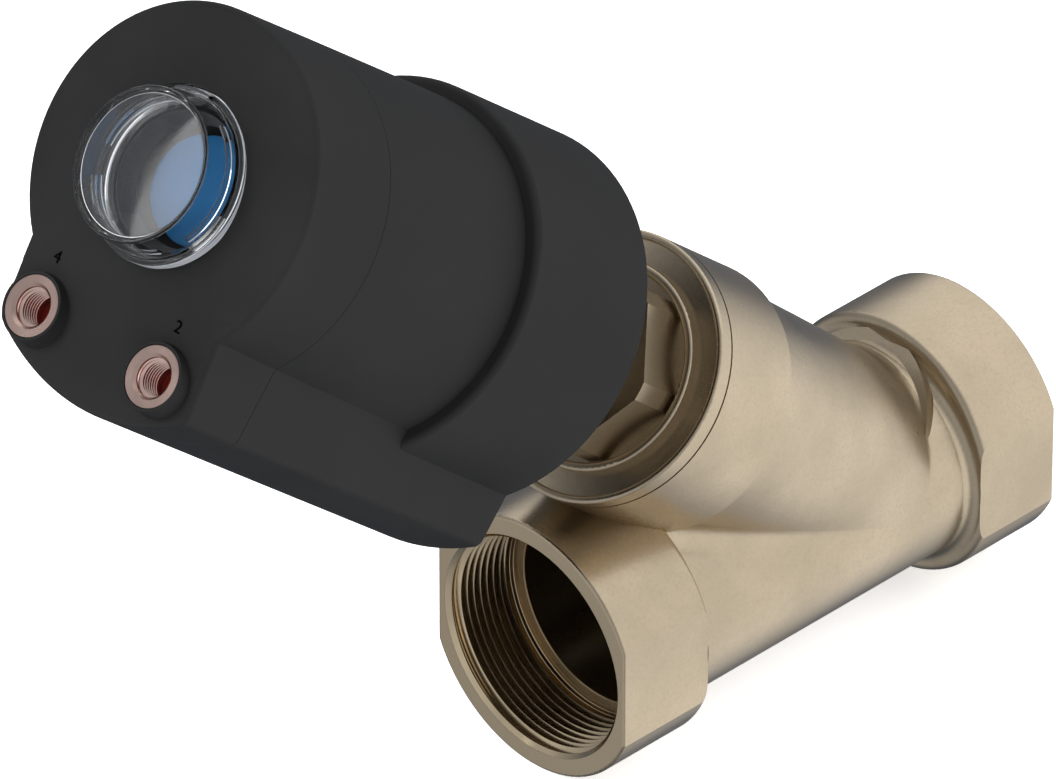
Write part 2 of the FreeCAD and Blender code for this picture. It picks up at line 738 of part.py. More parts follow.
def housing():
    body = new_body("actuator_housing")
    turn(body, "drum", [(0, base_station), (drum_base, base_station), (drum_top, step_station),
                        (barrel_base, step_station), (barrel_parting, parting_station), (0, parting_station)])
    spine_block(body, "housing_spine", base_station, parting_station - base_station)
    round_edges(body, "spine_round", spine_round, lambda edge: long_edge(edge, spine_half))
    round_edges(body, "base_round", edge_round, lambda edge: is_circle(edge, drum_top, step_station))
    hole = spigot_radius + running_gap
    below, above = base_station - BEYOND, parting_station + BEYOND
    turn(body, "cylinder", [(0, below), (drum_base - base_rim, below), (drum_base - base_rim, spigot_start),
                            (hole, spigot_start), (hole, floor_top), (cylinder_bore, floor_top),
                            (cylinder_bore, above), (0, above)], "Groove")
    core = sketch_on(body, "XY_Plane", "spine_core_outline", parting_station)
    inner, outer = -(cylinder_bore + cylinder_wall), -(spine_reach - spine_wall)
    closed_outline(core, [(inner, spine_core_half), (outer, spine_core_half),
                          (outer, -spine_core_half), (inner, -spine_core_half)])
    extrude(body, "spine_core", core, parting_station - step_station, "Pocket")
    depth = parting_station - floor_top - channel_floor
    drill(body, "lower_channel", channel_radius, (-port_drop, port_spread), parting_station, depth)
    passage = sketch_on(body, "YZ_Plane", "passage_outline")
    passage.AttachmentOffset = FreeCAD.Placement(V(0, 0, -float(port_drop)), FreeCAD.Rotation())
    bind(passage, "AttachmentOffset.Base.z", -port_drop)
    circle(passage, passage_radius, (port_spread, floor_top + channel_floor + channel_radius))
    extrude(body, "lower_passage", passage, port_drop - cylinder_bore / 2, "Pocket", reverse=True)
    on_branch(body)


def cover():
    body = new_body("actuator_cover")
    low = parting_station + parting_gap
    high = face_station + 2 * spine_reach * sine(face_lean)
    draft = (barrel_parting - barrel_top) / (face_station - parting_station)
    wide = barrel_top - draft * (high - face_station)
    turn(body, "cap", [(0, low), (barrel_parting, low), (wide, high), (0, high)])
    spine_block(body, "cover_spine", low, high - low)
    round_edges(body, "cover_spine_round", spine_round, lambda edge: long_edge(edge, spine_half))
    crown = sketch_on(body, "XZ_Plane", "crown_outline")
    centre = (crown_radius * sine(face_lean), face_station - crown_radius * cosine(face_lean))
    circle(crown, crown_radius, centre)
    circle(crown, crown_radius + spine_reach, centre)
    feature = extrude(body, "crowned_face", crown, 2 * spine_reach, "Pocket")
    feature.Midplane = True
    doc.recompute()
    round_edges(body, "face_round", edge_round, lambda edge: on_crown(edge, centre))
    for side in (1, -1):
        boss = sketch_on(body, "XY_Plane", f"port_boss_{side + 1}_outline", port_station)
        circle(boss, port_boss, (-port_drop, side * port_spread))
        pad = extrude(body, f"port_boss_{side + 1}", boss, boss_depth, reverse=True)
        pad.TaperAngle = float(port_taper)
        bind(pad, "TaperAngle", port_taper)
        doc.recompute()
    cut_cover(body)
    on_branch(body)


def on_crown(edge, centre, slack=0.01):
    """An edge that lies wholly on the crowned front face."""
    middle = edge.valueAt((edge.FirstParameter + edge.LastParameter) / 2)
    spots = [middle] + [vertex.Point for vertex in edge.Vertexes]
    reaches = [math.hypot(spot.x - float(centre[0]), spot.z - float(centre[1])) for spot in spots]
    return all(abs(reach - float(crown_radius)) < slack for reach in reaches)


def cut_cover(body):
    """Skirt, cavity, hub, socket for the dome, well for the indicator, and the air ports."""
    low = parting_station + parting_gap
    below, above = low - BEYOND, face_station + rebate_radius
    turn(body, "skirt", [(cover_cavity, skirt_low), (skirt_outer, skirt_low), (skirt_outer, low + BEYOND),
                         (cover_cavity, low + BEYOND)])
    turn(body, "cavity", [(hub_radius, below), (cover_cavity, below), (cover_cavity, ceiling_station),
                          (hub_radius, ceiling_station)], "Groove")
    turn(body, "socket", [(0, below), (hub_radius + BEYOND, below), (hub_radius + BEYOND, hub_low),
                          (well_radius, hub_low), (well_radius, socket_low), (socket_radius, socket_low),
                          (socket_radius, rebate_low), (rebate_radius, rebate_low), (rebate_radius, above),
                          (0, above)], "Groove")
    inner, half = skirt_outer - 2 * cord_wire, cord_wire + cord_slack
    outer, bottom, top = skirt_outer + BEYOND, seal_station - half, seal_station + half
    turn(body, "seal_groove", [(inner, bottom), (outer, bottom), (outer, top), (inner, top)], "Groove")
    for side, name in ((1, "lower"), (-1, "upper")):
        centre = (-port_drop, side * port_spread)
        ledge = port_station - insert_length
        floor = ledge - port_step
        drill(body, name + "_insert_seat", insert_radius + fit_gap, centre, port_station, insert_length)
        drill(body, name + "_port_step", port_thread + port_ledge, centre, ledge, port_step)
        deep = floor - low + BEYOND if side > 0 else 2 * channel_radius
        drill(body, name + "_port_channel", channel_radius, centre, floor, deep)
    across = sketch_on(body, "YZ_Plane", "upper_passage_outline")
    across.AttachmentOffset = FreeCAD.Placement(V(0, 0, -float(port_drop)), FreeCAD.Rotation())
    bind(across, "AttachmentOffset.Base.z", -port_drop)
    circle(across, passage_radius, (-port_spread, port_station - insert_length - port_step - channel_radius))
    extrude(body, "upper_passage", across, port_drop - cover_cavity / 2, "Pocket", reverse=True)


def port_parts():
    """Threaded inserts and their seal rings, one for each air port."""
    for side, name in ((1, "port_4"), (-1, "port_2")):
        low = port_station - insert_length
        for label, outer, inner, bottom, top in (
                ("insert", insert_radius, port_thread, low, port_station),
                ("seal", port_thread + port_ledge - fit_gap, channel_radius, low - port_step, low - fit_gap)):
            body = new_body(f"{name}_{label}")
            sketch = sketch_on(body, "XY_Plane", f"{name}_{label}_outline", bottom)
            centre = (-port_drop, side * port_spread)
            circle(sketch, outer, centre)
            circle(sketch, inner, centre)
            extrude(body, f"{name}_{label}_form", sketch, top - bottom)
            on_branch(body)


def housing_parts():
    """Seals and nut that close the housing."""
    cord_ring("cover_seal", skirt_outer - cord_wire, cord_wire, seal_station)
    hex_nut("actuator_nut", tube_radius, spigot_radius, floor_top + fit_gap, spigot_end - floor_top - fit_gap)
    cord_ring("dome_seal", socket_radius - cord_wire, cord_wire, socket_low + cord_wire + fit_gap)


def dome():
    """Clear cap over the position indicator, with its flange in the rebate of the face."""
    flange_low = rebate_low
    top = indicator_top + stroke + dome_clearance + dome_wall
    body = new_body("view_dome")
    flange_top = face_station + dome_flange_height
    skirt_radius = socket_radius - 2 * cord_wire - cord_slack
    turn(body, "dome_form", [
        (0, top - dome_wall), (dome_rim - dome_wall, top - dome_wall), (dome_base - dome_wall, flange_top),
        (skirt_radius - dome_wall, flange_low), (skirt_radius - dome_wall, socket_low + fit_gap),
        (skirt_radius, socket_low + fit_gap), (skirt_radius, flange_low + fit_gap),
        (dome_flange, flange_low + fit_gap), (dome_flange, flange_top), (dome_base, flange_top),
        (dome_rim, top), (0, top)])
    round_edges(body, "dome_round", dome_edge, lambda edge: is_circle(edge, dome_rim, top))
    on_branch(body)


# Piston and springs
def piston():
    outer = cylinder_bore - piston_gap
    top = piston_station + piston_height
    web_top = piston_station + piston_web
    groove_low = piston_station + piston_land
    groove_top = groove_low + piston_seal_width
    guide_low = groove_top + piston_land
    guide_top = guide_low + guide_width
    groove_floor = outer - piston_seal_depth
    cup_inner = groove_floor - piston_wall
    hub_outer = inner_coil - inner_wire - spring_play
    hub_inner = hub_outer - guide_hub_wall
    hub_top = web_top + guide_hub_height
    turned("piston", [
        (stem_thread, piston_station), (outer, piston_station), (outer, groove_low),
        (groove_floor, groove_low), (groove_floor, groove_top), (outer, groove_top),
        (outer, guide_low), (outer - guide_depth, guide_low), (outer - guide_depth, guide_top),
        (outer, guide_top), (outer, top), (cup_inner, top), (cup_inner, web_top),
        (hub_outer, web_top), (hub_outer, hub_top), (hub_inner, hub_top), (hub_inner, web_top),
        (stem_thread, web_top)])
    lip = cylinder_bore - piston_gap / 2
    notch, waist = piston_seal_depth / 4, groove_low + piston_seal_width / 2
    turned("piston_seal", [
        (groove_floor, groove_low), (lip, groove_low), (lip - notch, waist),
        (lip, groove_top), (groove_floor, groove_top), (groove_floor + notch, waist)])
    ring("piston_guide_ring", outer - guide_depth, lip, guide_low, guide_top)
    hex_nut("piston_nut", nut_flat, stem_thread, web_top, nut_height)
    cap_low = indicator_top - indicator_height
    rod_end = indicator_top - indicator_height / 2
    turned("position_indicator", [
        (rod_radius, cap_low), (indicator_radius - indicator_bevel, cap_low),
        (indicator_radius, cap_low + indicator_bevel), (indicator_radius, indicator_top), (0, indicator_top),
        (0, rod_end), (rod_radius, rod_end)])


def springs():
    seat = piston_station + piston_web
    coil("outer_spring", outer_coil, outer_wire, seat, ceiling_station, outer_turns)
    coil("inner_spring", inner_coil, inner_wire, seat, ceiling_station, inner_turns)


makers = (valve_body, bonnet, stem, plug, packing, housing, cover, port_parts, housing_parts, dome, piston,
          springs)
for maker in makers:
    maker()
doc.recompute()
failed = [item.Label for item in doc.Objects if {"Invalid", "Error"} & set(item.State)]
pieces = [item for item in doc.Objects if item.TypeId in ("PartDesign::Body", "Part::Feature")]
failed += [piece.Label for piece in pieces if piece.Shape.isNull() or not piece.Shape.isValid()]
if failed:
    raise SystemExit("Not built: " + ", ".join(failed))
os.makedirs("parts", exist_ok=True)
for piece in pieces:
    piece.Shape.exportStep(f"parts/{piece.Label}.step")
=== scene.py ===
import json
import math

import bmesh
import bpy
from bpy.props import FloatProperty, FloatVectorProperty, IntProperty, PointerProperty
from mathutils import Matrix, Vector


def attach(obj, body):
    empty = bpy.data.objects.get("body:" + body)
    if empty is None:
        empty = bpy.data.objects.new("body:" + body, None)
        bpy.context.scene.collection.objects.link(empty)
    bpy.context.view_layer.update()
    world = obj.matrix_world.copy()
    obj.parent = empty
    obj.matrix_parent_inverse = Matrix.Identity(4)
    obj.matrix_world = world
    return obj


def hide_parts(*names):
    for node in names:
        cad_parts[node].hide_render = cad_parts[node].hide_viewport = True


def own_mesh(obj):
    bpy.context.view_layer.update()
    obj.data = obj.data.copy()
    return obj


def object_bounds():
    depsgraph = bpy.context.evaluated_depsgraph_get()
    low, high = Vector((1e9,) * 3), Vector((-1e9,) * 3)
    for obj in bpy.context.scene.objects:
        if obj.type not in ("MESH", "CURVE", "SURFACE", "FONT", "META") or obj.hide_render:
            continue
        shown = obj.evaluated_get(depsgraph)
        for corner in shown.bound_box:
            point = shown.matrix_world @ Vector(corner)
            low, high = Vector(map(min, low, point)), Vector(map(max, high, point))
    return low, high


bl_info = {
    "name": "Angle seat valve",
    "version": (1, 0, 0),
    "blender": (4, 5, 0),
    "location": "View3D > Sidebar > Valve",
    "description": "Finishes, threads, view dome and studio for an angle seat valve",
    "category": "Object",
}

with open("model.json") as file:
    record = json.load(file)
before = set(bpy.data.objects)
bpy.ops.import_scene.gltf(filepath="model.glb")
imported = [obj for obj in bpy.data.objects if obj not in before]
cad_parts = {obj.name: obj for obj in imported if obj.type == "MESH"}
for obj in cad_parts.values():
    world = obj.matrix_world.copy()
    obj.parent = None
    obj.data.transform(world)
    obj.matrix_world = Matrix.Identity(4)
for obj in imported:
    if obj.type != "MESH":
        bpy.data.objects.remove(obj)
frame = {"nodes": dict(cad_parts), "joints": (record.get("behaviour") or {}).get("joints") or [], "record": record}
CAD_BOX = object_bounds()
NODES = frame["nodes"]
JOINTS = {joint["name"]: joint for joint in frame["joints"]}
MOUNTS = {mount["name"]: mount for mount in frame["record"]["mounts"]}

MM = 0.001
FULL_TURN = 2 * math.pi
PIPE_LENGTH = (Vector(MOUNTS["outlet_thread"]["pos_m"]) - Vector(MOUNTS["inlet_thread"]["pos_m"])).length

# The branch's axis carries the stem, the bonnet and the actuator
BRANCH = Vector(JOINTS["actuator_swivel"]["axis"]).normalized()
FOOT = Vector(JOINTS["actuator_swivel"]["pos_m"])
ACROSS = Vector((0, 1, 0))
UPPER = ACROSS.cross(BRANCH)
ON_BRANCH = Matrix.Translation(FOOT) @ Matrix((UPPER, ACROSS, BRANCH)).transposed().to_4x4()

# Vertices nearer to each other than this are merged
MERGE = 1e-6
# Angles in degrees past which an edge is sharp
SHARP, SHARP_ON_THREAD, SHARP_ON_WIRE = 32, 25, 50
# Steps of a turned piece, of one that is seen close by, and of the dome
STEPS, FINE_STEPS, DOME_STEPS = 128, 160, 192
# Steps of a rounded corner and of a block on the dome
CORNER_STEPS, BLOCK_STEPS = 4, 24
# How deep a turned ring sits in the metal that it lines
SUNK = 0.02 * MM

# A thread's half width at its root and crest, in pitches, and its depth in the wall, in ridge heights
RIDGE_ROOT, RIDGE_CREST, RIDGE_EMBED = 0.46, 0.07, 0.1
# Turns over which a thread runs out at each end, and the height that is left there
RUN_OUT, RUN_OUT_HEIGHT = 0.7, 0.04
# How much the pipe thread's ridge grows, as a share of its height, for each metre into the pipe
PIPE_THREAD_GROWTH = 8

# Turns of each closing spring, and the steps round its wire and along a turn
SPRING_TURNS = {"outer_spring": 6, "inner_spring": 7}
WIRE_STEPS, SPRING_STEPS = 14, 56

# Bearings of the dome's three bayonet lugs, and the sweeps of a lug and of the track behind it, in degrees
LUG_BEARINGS, LUG_SWEEP, TRACK_SWEEP = (-5, 115, 235), 30, 96

# Name, place and power of the large studio lamps, their size, and the point that they face
LAMPS = (("key_light", (1.0, -1.0, 1.0), 7), ("fill_light", (-1.1, 0.5, 1.1), 27),
         ("front_light", (-0.6, -1.2, 0.6), 7))
LAMP_SIZE = 0.9
LAMP_AIM = Vector((0.05, 0, 0.06))
FLOOR_REACH = 6.0

# Cells in a metre of each plain finish's clouds and grain, the share of the colour that the clouds turn to, how
# much smoother and rougher they make it, and the grain's strength
METAL = {"metallic": 1.0, "cloud": 90, "shade": 0.82, "smoother": 0.04, "rougher": 0.05, "grain": 1400, "bump": 0.10}
TURNED = {"metallic": 1.0, "cloud": 60, "shade": 0.80, "smoother": 0.04, "rougher": 0.04, "grain": 900, "bump": 0.12}
PLASTIC = {"metallic": 0.0, "cloud": 70, "shade": 0.85, "smoother": 0.04, "rougher": 0.05, "grain": 1200, "bump": 0.08}


# Sizes and colours that a user would change

def length(name, text, default):
    return FloatProperty(name=name, description=text, default=default, unit="LENGTH", precision=5)


def shade(name, text, default):
    return FloatVectorProperty(name=name, description=text, default=default, subtype="COLOR", size=3, min=0, max=1)


def amount(name, text, default):
    return FloatProperty(name=name, description=text, default=default, min=0)


def angle(name, text, degrees):
    return FloatProperty(name=name, description=text, default=math.radians(degrees), subtype="ANGLE")


class ValveFinishes(bpy.types.PropertyGroup):
    bronze: shade("Bronze", "Colour of the blasted nickel bronze", (0.50, 0.415, 0.300))
    bronze_machined: shade("Machined bronze", "Colour of the turned faces and threads", (0.74, 0.60, 0.40))
    bronze_roughness: amount("Bronze roughness", "Roughness of the blasted casting", 0.29)
    bronze_grain: length("Bronze grain", "Size of the blasted grain", 0.00045)
    plastic: shade("Housing plastic", "Colour of the actuator's plastic", (0.0115, 0.0115, 0.0116))
    plastic_roughness: amount("Plastic roughness", "Roughness of the actuator's plastic", 0.60)
    plastic_grain: length("Plastic grain", "Size of the moulded grain", 0.00035)
    copper: shade("Port copper", "Colour of the port inserts", (0.60, 0.43, 0.37))
    indicator: shade("Indicator blue", "Colour of the position indicator", (0.012, 0.30, 0.75))
    dome_tint: shade("Dome tint", "Tint of the clear dome", (0.98, 0.99, 1.0))
    seal_red: shade("Seal red", "Colour of the port seals", (0.45, 0.03, 0.02))
    steel: shade("Steel", "Colour of the stem and springs", (0.56, 0.56, 0.55))


class ThreadSizes(bpy.types.PropertyGroup):
    pipe_pitch: length("Pipe pitch", "Distance between turns in the pipe ends", 0.002209)
    pipe_depth: length("Pipe thread depth", "Height of the pipe thread's ridge", 0.00155)
    pipe_turns: amount("Pipe turns", "Turns in each pipe end", 8.7)
    pipe_lead: length("Pipe lead-in", "Plain mouth before the first turn", 0.0004)
    chamfer: length("Mouth chamfer", "Depth of the chamfer at each pipe mouth", 0.0011)
    stop_inner: length("Stop radius", "Inner radius of the step behind the pipe threads", 0.0257)
    port_pitch: length("Port pitch", "Distance between turns in the air ports", 0.00094)
    port_depth: length("Port thread depth", "Height of the port thread's ridge", 0.0007)
    port_turns: amount("Port turns", "Turns in each air port", 8.0)
    insert_radius: length("Insert radius", "Outer radius of the port inserts", 0.0076)
    insert_length: length("Insert length", "Length of the port inserts", 0.011)
    insert_chamfer: length("Insert chamfer", "Chamfer at the mouth of each port", 0.0008)


class DomeSizes(bpy.types.PropertyGroup):
    flange: length("Flange", "Radius of the dome's flange", 0.0215)
    root: length("Wall at the flange", "Radius of the dome's wall above its flange", 0.0202)
    rim: length("Wall at the window", "Radius of the dome's wall at its window", 0.0188)
    wall: length("Wall", "Thickness of the dome", 0.0016)
    skirt: length("Skirt", "Radius of the part inside the cover's socket", 0.0180)
    flange_top: length("Flange top", "From the window's rim down to the flange", 0.0110)
    flange_low: length("Flange underside", "From the window's rim down to the flange's underside", 0.0140)
    lip: length("Lip", "How far the rim stands in front of the window", 0.0004)
    well: length("Well", "Inner radius of the ribbed liner", 0.01448)
    well_rise: length("Liner height", "Height of the ribbed liner", 0.0056)
    ribs: IntProperty(name="Liner ribs", description="Fine steps in the liner", default=11, min=2)


class NumeralSizes(bpy.types.PropertyGroup):
    height: length("Numeral height", "Height of the port numerals", 0.0030)
    relief: length("Numeral relief", "How far the numerals stand out", 0.00018)
    above: length("Numeral place", "From a port's middle to its numeral", 0.0129)


class CameraSizes(bpy.types.PropertyGroup):
    azimuth: angle("Azimuth", "Camera bearing, from looking along +Y", -44.55)
    elevation: angle("Elevation", "Camera height angle", 34.5)
    distance: length("Distance", "From the camera to the target's plane", 3.415)
    lens: FloatProperty(name="Lens", description="Focal length in millimetres", default=478.5)
    target: FloatVectorProperty(name="Target", description="Point in the frame's middle", subtype="TRANSLATION",
                                default=(0.07500, 0, 0.0600), unit="LENGTH")
    shift_right: length("Shift right", "Camera's offset to the left of the target", 0.05411)
    shift_up: length("Shift up", "Camera's offset below the target", 0.01683)


class StudioSizes(bpy.types.PropertyGroup):
    floor: shade("Floor", "Colour of the floor", (0.95, 0.95, 0.95))
    floor_glow: amount("Floor glow", "Light that the floor gives, as a lit table does", 0.45)
    sky: shade("Sky", "Colour of the bright parts of the sky", (1.0, 1.0, 1.0))
    sky_dark: shade("Dark sky", "Colour of the dark parts of the sky", (0.10, 0.115, 0.145))
    sky_strength: amount("Sky strength", "Strength of the light all round", 1.25)
    bright_side: FloatVectorProperty(name="Bright side", description="Direction the soft light comes from",
                                     default=(0.5, -0.75, -0.15), subtype="DIRECTION")
    window_lamp: amount("Window lamp", "Power of the lamp mirrored in the dome's window", 0.058)


def settings(kind):
    return getattr(bpy.context.scene, kind)


# Meshes

def reach(node):
    """Lowest and highest place of a CAD node along the branch's axis."""
    places = [(vertex.co - FOOT).dot(BRANCH) for vertex in NODES[node].data.vertices]
    return min(places), max(places)


def finish_mesh(name, bm, place, material, sharp=SHARP):
    """Turns a bmesh into an object at the origin, with its place in its mesh."""
    bmesh.ops.remove_doubles(bm, verts=bm.verts, dist=MERGE)
    bmesh.ops.recalc_face_normals(bm, faces=bm.faces)
    bmesh.ops.transform(bm, matrix=place, verts=bm.verts)
    mesh = bpy.data.meshes.new(name)
    bm.to_mesh(mesh)
    bm.free()
    mesh.shade_smooth()
    mesh.set_sharp_from_angle(angle=math.radians(sharp))
    mesh.materials.append(material)
    made = bpy.data.objects.new(name, mesh)
    bpy.context.scene.collection.objects.link(made)
    return made


def profile(bm, points, closed=True):
    """Draws (radius, station) points in the XZ plane as vertices joined by edges."""
    verts = [bm.verts.new((radius, 0, height)) for radius, height in points]
    pairs = list(zip(verts, verts[1:])) + ([(verts[-1], verts[0])] if closed else [])
    return verts + [bm.edges.new(pair) for pair in pairs]


def sweep(bm, drawn, turn, steps, rise=0.0, whole=False):
    """Turns what is drawn about z in steps, and lifts it at each one where it is a helix."""
    bmesh.ops.spin(bm, geom=drawn, cent=(0, 0, 0), axis=(0, 0, 1), dvec=(0, 0, rise), angle=turn, steps=steps,
                   use_merge=whole)


def close_ends(bm):
    bmesh.ops.holes_fill(bm, edges=[edge for edge in bm.edges if edge.is_boundary])


def lathe(name, points, place, material, steps=STEPS):
    """A closed ring or disc turned about z from its half outline."""
    bm = bmesh.new()
    sweep(bm, profile(bm, points, closed=points[0][0] > 0), FULL_TURN, steps, whole=True)
    return finish_mesh(name, bm, place, material)


def round_corner(before, corner, after, radius):
    """Points of an arc that rounds one corner of an outline, with a short run before and after it."""
    one, spot, two = Vector(before), Vector(corner), Vector(after)
    to_one, to_two = (one - spot).normalized(), (two - spot).normalized()
    half = to_one.angle(to_two) / 2
    back, run = radius / math.tan(half), radius / 4
    centre = spot + (to_one + to_two).normalized() * (radius / math.sin(half))
    start, end = spot + to_one * back - centre, spot + to_two * back - centre
    turn = start.angle(end)
    points = [tuple(centre + start + to_one * run)]
    for step in range(CORNER_STEPS + 1):
        share = step / CORNER_STEPS
        arm = (start * math.sin((1 - share) * turn) + end * math.sin(share * turn)) / math.sin(turn)
        points.append(tuple(centre + arm))
    return points + [tuple(centre + end + to_two * run)]


def rounded(outline):
    """Points of an outline whose corners are given as radius, station and rounding in mm."""
    count, soft = len(outline), []
    for index, (across, height, rounding) in enumerate(outline):
        if rounding:
            before, after = outline[index - 1][:2], outline[(index + 1) % count][:2]
            soft += round_corner(before, (across, height), after, rounding * MM)
        else:
            soft.append((across, height))
    return soft


def arc_blocks(name, blocks, place, material):
    """Closed blocks swept round z, each from an outline and a start and sweep in degrees."""
    bm = bmesh.new()
    for points, start, turn in blocks:
        drawn = profile(bm, points)
        verts = [item for item in drawn if isinstance(item, bmesh.types.BMVert)]
        bmesh.ops.rotate(bm, verts=verts, cent=(0, 0, 0), matrix=Matrix.Rotation(math.radians(start), 3, "Z"))
        sweep(bm, drawn, math.radians(turn), BLOCK_STEPS)
    close_ends(bm)
    return finish_mesh(name, bm, place, material)


def thread(name, wall, depth, pitch, turns, place, material, steps, growth=0.0):
    """A closed helical ridge on the inside of a hole's wall, which runs out at both ends."""
    bm = bmesh.new()
    crest, root, flat = wall - depth, RIDGE_ROOT * pitch, RIDGE_CREST * pitch
    embed = wall + RIDGE_EMBED * (wall - crest)
    drawn = profile(bm, [(embed, -root), (crest, -flat), (crest, flat), (embed, root)])
    sweep(bm, drawn, FULL_TURN * turns, round(steps * turns), rise=pitch / steps)
    close_ends(bm)
    for vertex in bm.verts:
        across = math.hypot(vertex.co.x, vertex.co.y)
        part = math.atan2(vertex.co.y, vertex.co.x) / FULL_TURN
        wound = round(vertex.co.z / pitch - part) + part
        fade = max(RUN_OUT_HEIGHT, min(1.0, wound / RUN_OUT, (turns - wound) / RUN_OUT))
        if across < wall:
            deeper = wall - (wall - across) * fade * (1 + growth * vertex.co.z)
            vertex.co.x *= deeper / across
            vertex.co.y *= deeper / across
    return finish_mesh(name, bm, place, material, SHARP_ON_THREAD)


def into_mount(mount):
    """Place of a hole's mouth, with z pointing into the hole."""
    inward = -Vector(mount["axis"])
    turn = Vector((0, 0, 1)).rotation_difference(inward).to_matrix().to_4x4()
    return Matrix.Translation(mount["pos_m"]) @ turn


# Materials

def new_material(name):
    material = bpy.data.materials.new(name)
    material.use_nodes = True
    tree = material.node_tree
    return material, tree, tree.nodes["Principled BSDF"]


def put(tree, socket, value):
    """Links a socket to another node's output, or sets its value."""
    if isinstance(value, bpy.types.NodeSocket):
        tree.links.new(value, socket)
    else:
        socket.default_value = value


def feed(tree, made, values):
    """Puts values into a node's inputs by name, and into its properties where it has no such input."""
    for key, value in values.items():
        if key in made.inputs:
            put(tree, made.inputs[key], value)
        else:
            setattr(made, key, value)


def node(tree, kind, **values):
    made = tree.nodes.new(kind)
    feed(tree, made, values)
    return made


def noise(tree, place, scale, detail=3.0, roughness=0.55):
    made = node(tree, "ShaderNodeTexNoise", Vector=place, Scale=scale, Detail=detail, Roughness=roughness)
    return made.outputs["Fac"]


def ramp(tree, value, low, high, low_at=0.35, high_at=0.65):
    """Goes from low to high as a value goes from low_at to high_at."""
    made = node(tree, "ShaderNodeMapRange")
    feed(tree, made, {"Value": value, "From Min": low_at, "From Max": high_at, "To Min": low, "To Max": high})
    return made.outputs["Result"]


def math_node(tree, operation, *values):
    made = node(tree, "ShaderNodeMath", operation=operation)
    for socket, value in zip(made.inputs, values):
        put(tree, socket, value)
    return made.outputs["Value"]


def mix_colour(tree, share, one, two):
    """Goes from one colour to another as a share goes from 0 to 1."""
    made = node(tree, "ShaderNodeMix", data_type="RGBA", Factor=share)
    colours = [socket for socket in made.inputs if socket.type == "RGBA"]
    for socket, value in zip(colours, (one, two)):
        put(tree, socket, value if isinstance(value, bpy.types.NodeSocket) else (*value, 1))
    return next(socket for socket in made.outputs if socket.type == "RGBA")


def scaled(colour, factor):
    return tuple(channel * factor for channel in colour)


def bump(tree, shader, height, strength, distance):
    made = node(tree, "ShaderNodeBump", Height=height, Strength=strength, Distance=distance)
    put(tree, shader.inputs["Normal"], made.outputs["Normal"])


def object_place(tree):
    return node(tree, "ShaderNodeTexCoord").outputs["Object"]


def plain_finish(name, colour, roughness, kind):
    """A metal or plastic with soft clouds of a second shade, uneven gloss and a fine grain."""
    material, tree, shader = new_material(name)
    place = object_place(tree)
    cloud = noise(tree, place, kind["cloud"])
    feed(tree, shader, {
        "Metallic": kind["metallic"],
        "Base Color": mix_colour(tree, ramp(tree, cloud, 0, 1), colour, scaled(colour, kind["shade"])),
        "Roughness": ramp(tree, cloud, roughness - kind["smoother"], roughness + kind["rougher"]),
    })
    bump(tree, shader, noise(tree, place, kind["grain"], detail=2), strength=kind["bump"], distance=0.03 * MM)
    return material


def cast_bronze():
    """Blasted nickel bronze, with turned rings on the pipe's two end faces."""
    finishes = settings("valve_finishes")
    bronze, roughness = finishes.bronze, finishes.bronze_roughness
    cloud_shade, speck_shade, face_shade = 0.86, 0.7, 0.75
    face_depth, ring_pitch, ring_height = 0.12 * MM, 0.42 * MM, 0.5
    material, tree, shader = new_material("cast_bronze")
    place = object_place(tree)
    cloud = noise(tree, place, scale=38, detail=4)
    grain = noise(tree, place, scale=0.5 / finishes.bronze_grain, detail=2, roughness=0.6)
    colour = mix_colour(tree, ramp(tree, cloud, 0, 1), bronze, scaled(bronze, cloud_shade))
    specks = ramp(tree, grain, low=0.0, high=0.35, low_at=0.45, high_at=0.75)
    colour = mix_colour(tree, specks, colour, scaled(bronze, speck_shade))

    # The end faces lie at both ends of x, and their rings run round the pipe's axis
    along, across, height = node(tree, "ShaderNodeSeparateXYZ", Vector=place).outputs
    off_middle = math_node(tree, "ABSOLUTE", math_node(tree, "SUBTRACT", along, PIPE_LENGTH / 2))
    end_face = math_node(tree, "GREATER_THAN", off_middle, PIPE_LENGTH / 2 - face_depth)
    colour = mix_colour(tree, end_face, colour, scaled(finishes.bronze_machined, face_shade))
    squares = math_node(tree, "ADD", math_node(tree, "MULTIPLY", across, across),
                        math_node(tree, "MULTIPLY", height, height))
    turns = math_node(tree, "MULTIPLY", math_node(tree, "SQRT", squares), FULL_TURN / ring_pitch)
    rings = math_node(tree, "MULTIPLY", math_node(tree, "SINE", turns), ring_height)
    marks = math_node(tree, "MULTIPLY", rings, end_face)

    feed(tree, shader, {"Metallic": 1.0, "Base Color": colour,
                        "Roughness": ramp(tree, cloud, roughness - 0.03, roughness + 0.05)})
    bump(tree, shader, math_node(tree, "ADD", grain, marks), strength=0.35, distance=0.06 * MM)
    return material


def housing_plastic():
    """Matt black plastic with a fine moulded grain."""
    finishes = settings("valve_finishes")
    plastic, roughness, cloud_shade = finishes.plastic, finishes.plastic_roughness, 1.3
    material, tree, shader = new_material("housing_plastic")
    place = object_place(tree)
    cloud = noise(tree, place, scale=24, detail=4)
    grain = noise(tree, place, scale=0.5 / finishes.plastic_grain, detail=2, roughness=0.65)
    feed(tree, shader, {
        "Base Color": mix_colour(tree, ramp(tree, cloud, 0, 1), plastic, scaled(plastic, cloud_shade)),
        "Roughness": ramp(tree, cloud, roughness - 0.03, roughness + 0.05),
        "Specular IOR Level": 0.11,
    })
    bump(tree, shader, grain, strength=0.30, distance=0.05 * MM)
    return material


